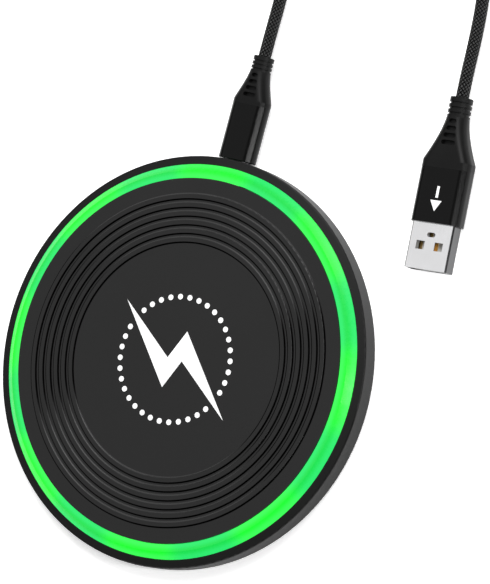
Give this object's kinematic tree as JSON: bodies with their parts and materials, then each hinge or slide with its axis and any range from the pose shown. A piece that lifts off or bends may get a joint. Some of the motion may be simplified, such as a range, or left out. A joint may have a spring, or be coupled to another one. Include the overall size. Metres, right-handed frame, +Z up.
{
  "type": "wireless charging pad",
  "caption": "Round flat wireless charging pad with ribbed grip face, lit ring near the rim, and a braided USB-C lead, coiled, ending in a USB-A plug.",
  "frame": {"origin": "bottom centre of the pad, on the surface its foot ring stands on", "axes": "+Z up out of the charging face, +Y towards the lead's port, +X to the right of the port when the port is at the top"},
  "size_m": [0.1241, 0.2327, 0.0092],
  "materials": {
    "housing_metal": "satin black lacquer over an aluminium ring",
    "lit_ring": "translucent polycarbonate diffuser, lit green from below, polished",
    "silicone": "matt moulded silicone with raised rings",
    "white_print": "screen-printed white ink",
    "black_abs": "fine-textured black ABS",
    "foot_rubber": "soft matt rubber",
    "screw_steel": "zinc-plated steel",
    "white_board": "white solder mask",
    "led_package": "white LED package with yellow encapsulant",
    "ribbon_film": "amber polyimide film",
    "green_board": "green solder mask over glass epoxy",
    "chip_epoxy": "black moulded epoxy",
    "capacitor_ceramic": "tan ceramic with tinned ends",
    "crystal_can": "plated metal can",
    "ferrite": "sintered ferrite, dull grey",
    "foam": "double-sided foam tape",
    "glue_film": "clear-amber glue film",
    "copper_wire": "enamelled copper wire",
    "bead_glass": "resin-dipped bead on enamelled wires",
    "plug_steel": "bright nickel-plated steel",
    "black_nylon": "glass-filled black nylon",
    "white_nylon": "light grey moulded nylon",
    "gold_contacts": "gold-flashed copper alloy",
    "sleeve_metal": "gloss black anodised aluminium",
    "relief_tpe": "satin thermoplastic elastomer",
    "braid": "tight black nylon braid",
    "tie_fabric": "black hook-and-loop tape"
  },
  "bodies": {
    "pad": {"housing": "housing_metal", "light_ring": "lit_ring", "grip_mat": "silicone", "charge_mark": "white_print", "top_plate": "black_abs", "base_cover": "black_abs", "foot_ring": "foot_rubber", "case_screws": "screw_steel", "led_board": "white_board", "led_chips": "led_package", "led_ribbon": "ribbon_film", "main_board": "green_board", "board_screws": "screw_steel", "control_chip": "chip_epoxy", "power_transistors": "chip_epoxy", "resonant_capacitors": "capacitor_ceramic", "input_capacitors": "capacitor_ceramic", "chip_resistors": "chip_epoxy", "crystal": "crystal_can", "power_inductor": "ferrite", "foam_tape": "foam", "ferrite_plate": "ferrite", "coil_adhesive": "glue_film", "transmitter_coil": "copper_wire", "coil_leads": "copper_wire", "thermistor": "bead_glass", "port_shell": "plug_steel", "port_tongue": "black_nylon", "port_contacts": "gold_contacts"},
    "lead": {"plug_c_shell": "plug_steel", "plug_c_insulator": "black_nylon", "plug_c_contacts": "gold_contacts", "plug_c_board": "green_board", "plug_c_sleeve": "sleeve_metal", "plug_c_relief": "relief_tpe", "plug_a_shell": "plug_steel", "plug_a_tongue": "white_nylon", "plug_a_contacts": "gold_contacts", "plug_a_core": "relief_tpe", "plug_a_sleeve": "sleeve_metal", "plug_a_relief": "relief_tpe", "plug_a_mark": "white_print", "cable_lead": "braid", "cable_coil": "braid", "cable_tail": "braid", "cable_tie": "tie_fabric"}
  },
  "joints": [
    {"name": "plug_pull", "type": "slide", "parent": "pad", "child": "lead", "axis": [0, 1, 0], "range_m": [0, 0.012]}
  ]
}
